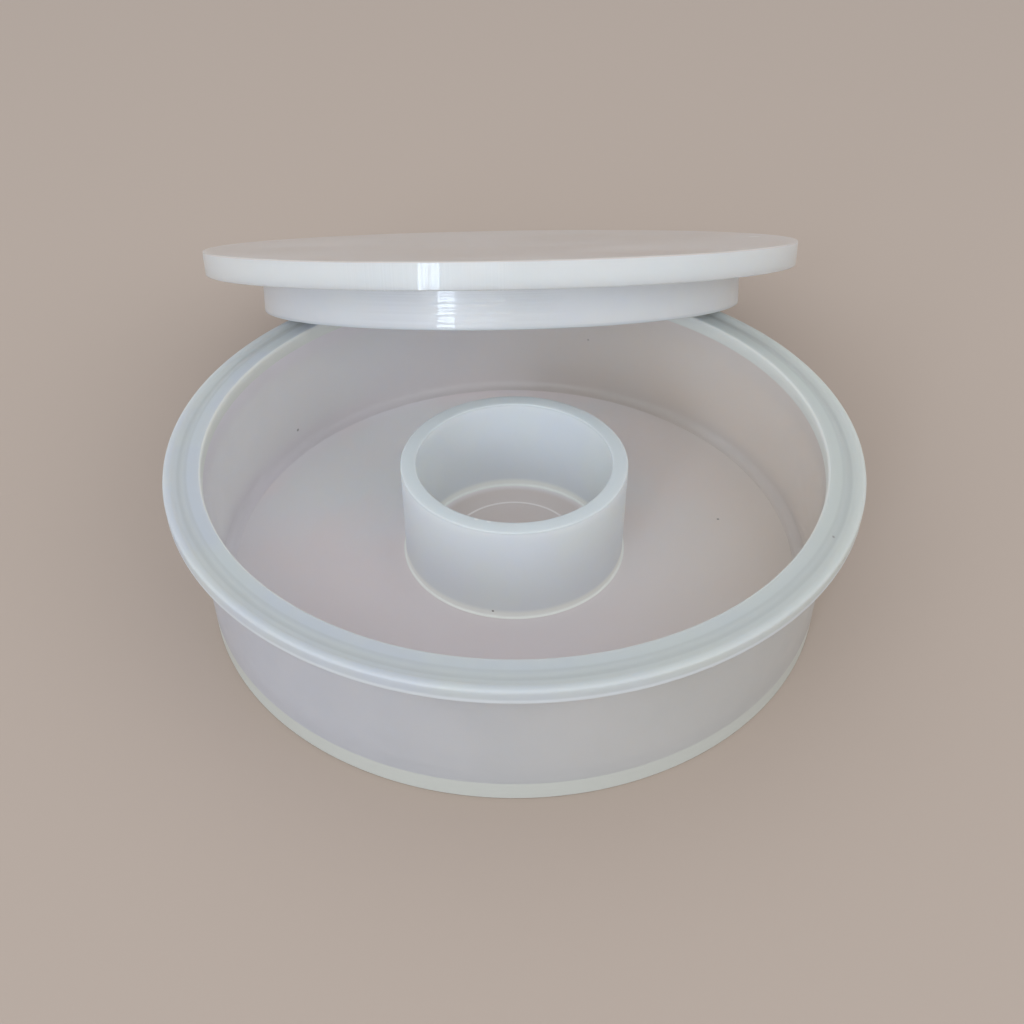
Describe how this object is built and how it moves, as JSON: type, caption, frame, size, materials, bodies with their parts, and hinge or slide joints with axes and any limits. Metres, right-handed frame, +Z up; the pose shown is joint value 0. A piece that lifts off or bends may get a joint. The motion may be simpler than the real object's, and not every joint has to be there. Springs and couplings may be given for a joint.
{
  "type": "ring dish with lid",
  "caption": "Round flat-bottomed plastic dish with a rim flange and a plain tube standing in its middle; a loose disc lid with a hollow skirt leans on it.",
  "frame": {"origin": "centre of the dish's underside, on the surface it stands on", "axes": "+Z up along the dish's axis; the lid leans on the rim from behind, on the +Y side, open towards -Y; +X to the right seen from -Y"},
  "size_m": [0.126, 0.1849, 0.057],
  "materials": {
    "floor_plastic": "natural see-through polypropylene, fine turning marks, one scribed circle inside the tube, satin",
    "wall_plastic": "natural milky polypropylene, fine turning marks, satin",
    "rim_plastic": "natural milky polypropylene, turned face with one shallow groove, satin",
    "tube_plastic": "natural milky polypropylene tube, satin",
    "lid_plastic": "natural milky polypropylene sheet, turned edge, smooth top with handling smears",
    "skirt_plastic": "natural milky polypropylene tube, turned, smooth"
  },
  "bodies": {
    "dish": {"base_plate": "floor_plastic", "wall_tube": "wall_plastic", "rim_ring": "rim_plastic", "centre_tube": "tube_plastic"},
    "lid": {"lid_plate": "lid_plastic", "lid_skirt": "skirt_plastic"}
  },
  "joints": [
    {"name": "lid_lift", "type": "slide", "parent": "dish", "child": "lid", "axis": [0, 0, 1], "range_m": [0, 0.06]}
  ]
}
